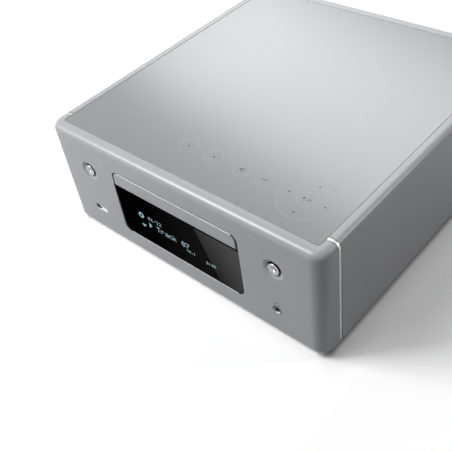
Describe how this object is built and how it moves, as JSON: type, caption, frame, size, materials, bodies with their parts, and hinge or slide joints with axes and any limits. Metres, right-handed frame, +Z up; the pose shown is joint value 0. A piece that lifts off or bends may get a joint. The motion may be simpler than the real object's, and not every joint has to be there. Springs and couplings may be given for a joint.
{
  "type": "mini hifi system",
  "caption": "Low silver cabinet with a disc tray door, a dark display window, two push buttons, front sockets, a touch top and rear connectors; the tray and its loader move.",
  "frame": {"origin": "on the table, under the middle of the whole object's bounding box", "axes": "+Z up, +X to the right and -Y out of the front"},
  "size_m": [0.28, 0.305, 0.108],
  "materials": {
    "silver_lacquer": "satin silver lacquer",
    "bright_trim": "bright satin aluminium",
    "touch_surface": "silver-backed touch sheet, soft gloss",
    "dark_glass": "smoked glass, polished",
    "display": "dark display with pale blue light",
    "black_plastic": "fine-grained black moulding",
    "foot_rubber": "matt rubber",
    "zinc_steel": "zinc-plated steel",
    "circuit_board": "green solder mask",
    "spun_aluminium": "spun face, bright",
    "ivory_gear": "natural acetal",
    "rear_lacquer": "fine black texture",
    "raw_aluminium": "extruded, plain",
    "pickup_body": "glass-filled moulding"
  },
  "bodies": {
    "cabinet": {"front_bezel": "silver_lacquer", "trim_band": "bright_trim", "cabinet_cover": "silver_lacquer", "top_panel": "touch_surface", "touch_board": "circuit_board", "bottom_pan": "zinc_steel", "rear_panel": "rear_lacquer", "foot_left_front": "foot_rubber", "foot_left_back": "foot_rubber", "foot_right_front": "foot_rubber", "foot_right_back": "foot_rubber", "display_glass": "dark_glass", "window_frame": "black_plastic", "display_module": "display", "front_board": "circuit_board", "power_switch": "black_plastic", "eject_switch": "black_plastic", "usb_socket": "zinc_steel", "headphone_ring": "bright_trim", "headphone_jack": "black_plastic", "loader_chassis": "black_plastic", "loader_bracket_left": "zinc_steel", "loader_bracket_right": "zinc_steel", "clamp_bridge": "black_plastic", "loading_motor": "zinc_steel", "drive_belt": "foot_rubber", "power_board": "circuit_board", "amplifier_board": "circuit_board", "main_board": "circuit_board", "transformer": "black_plastic", "heat_sink": "raw_aluminium", "ac_inlet": "black_plastic", "terminal_base": "black_plastic", "line_jacks": "zinc_steel", "optical_input": "black_plastic", "network_socket": "zinc_steel", "aerial_socket": "zinc_steel"},
    "power_button": {"power_button": "spun_aluminium"},
    "eject_button": {"eject_button": "spun_aluminium"},
    "tray": {"disc_tray": "black_plastic", "tray_door": "silver_lacquer"},
    "drive_gear": {"drive_gear": "ivory_gear"},
    "belt_pulley": {"belt_pulley": "ivory_gear"},
    "motor_pulley": {"motor_pulley": "ivory_gear"},
    "cam_slider": {"cam_slider": "ivory_gear"},
    "traverse": {"traverse_frame": "black_plastic", "guide_rod_left": "zinc_steel", "guide_rod_right": "zinc_steel", "spindle_motor": "zinc_steel", "sled_motor": "zinc_steel"},
    "turntable": {"turntable": "black_plastic"},
    "pickup": {"pickup": "pickup_body"},
    "sled_gear": {"sled_gear": "ivory_gear"},
    "clamp_puck": {"clamp_puck": "black_plastic"},
    "terminal_cap_1": {"terminal_cap_1": "black_plastic"},
    "terminal_cap_2": {"terminal_cap_2": "black_plastic"},
    "terminal_cap_3": {"terminal_cap_3": "black_plastic"},
    "terminal_cap_4": {"terminal_cap_4": "black_plastic"}
  },
  "joints": [
    {"name": "tray_slide", "type": "slide", "parent": "cabinet", "child": "tray", "axis": [0, -1, 0], "range_m": [0, 0.13]},
    {"name": "power_press", "type": "slide", "parent": "cabinet", "child": "power_button", "axis": [0, 1, 0], "range_m": [0, 0.0006], "stiffness_N_per_m": 400},
    {"name": "eject_press", "type": "slide", "parent": "cabinet", "child": "eject_button", "axis": [0, 1, 0], "range_m": [0, 0.0006], "stiffness_N_per_m": 400},
    {"name": "drive_gear_turn", "type": "hinge", "parent": "cabinet", "child": "drive_gear", "pos_m": [-0.04125, -0.1215, 0.0665], "axis": [0, 0, 1], "range_deg": [0, 852]},
    {"name": "belt_pulley_turn", "type": "hinge", "parent": "cabinet", "child": "belt_pulley", "pos_m": [-0.02625, -0.1215, 0.0635], "axis": [0, 0, 1], "range_deg": [-1193, 0]},
    {"name": "motor_pulley_turn", "type": "hinge", "parent": "cabinet", "child": "motor_pulley", "pos_m": [0.01375, -0.1215, 0.0635], "axis": [0, 0, 1], "range_deg": [-3378, 0]},
    {"name": "traverse_lift", "type": "hinge", "parent": "cabinet", "child": "traverse", "pos_m": [0, 0.01, 0.0763], "axis": [-1, 0, 0], "range_deg": [0, 4.79]},
    {"name": "cam_slide", "type": "slide", "parent": "cabinet", "child": "cam_slider", "axis": [1, 0, 0], "range_m": [0, 0.0221]},
    {"name": "disc_spin", "type": "hinge", "parent": "traverse", "child": "turntable", "pos_m": [0, -0.08381, 0.07607], "axis": [0, -0.0834, 0.9965], "continuous": true},
    {"name": "pickup_slide", "type": "slide", "parent": "traverse", "child": "pickup", "axis": [0, 0.9965, 0.0834], "range_m": [0, 0.035]},
    {"name": "sled_gear_turn", "type": "hinge", "parent": "traverse", "child": "sled_gear", "pos_m": [0.0306, -0.03088, 0.06716], "axis": [0, -0.0834, 0.9965], "range_deg": [-419, 0]},
    {"name": "clamp_spin", "type": "hinge", "parent": "cabinet", "child": "clamp_puck", "pos_m": [0, -0.0835, 0.0928], "axis": [0, 0, 1], "continuous": true},
    {"name": "terminal_cap_1_turn", "type": "hinge", "parent": "cabinet", "child": "terminal_cap_1", "pos_m": [-0.072, 0.1371, 0.057], "axis": [0, 1, 0], "range_deg": [0, 720]},
    {"name": "terminal_cap_2_turn", "type": "hinge", "parent": "cabinet", "child": "terminal_cap_2", "pos_m": [-0.048, 0.1371, 0.057], "axis": [0, 1, 0], "range_deg": [0, 720]},
    {"name": "terminal_cap_3_turn", "type": "hinge", "parent": "cabinet", "child": "terminal_cap_3", "pos_m": [-0.072, 0.1371, 0.036], "axis": [0, 1, 0], "range_deg": [0, 720]},
    {"name": "terminal_cap_4_turn", "type": "hinge", "parent": "cabinet", "child": "terminal_cap_4", "pos_m": [-0.048, 0.1371, 0.036], "axis": [0, 1, 0], "range_deg": [0, 720]}
  ],
  "couplings": [
    {"joint": "drive_gear_turn", "follows": "tray_slide", "rad_per_m": 114.29},
    {"joint": "belt_pulley_turn", "follows": "tray_slide", "rad_per_m": -160},
    {"joint": "motor_pulley_turn", "follows": "tray_slide", "rad_per_m": -453.33},
    {"joint": "cam_slide", "follows": "traverse_lift", "m_per_rad": 0.26341},
    {"joint": "sled_gear_turn", "follows": "pickup_slide", "rad_per_m": -208.33}
  ]
}
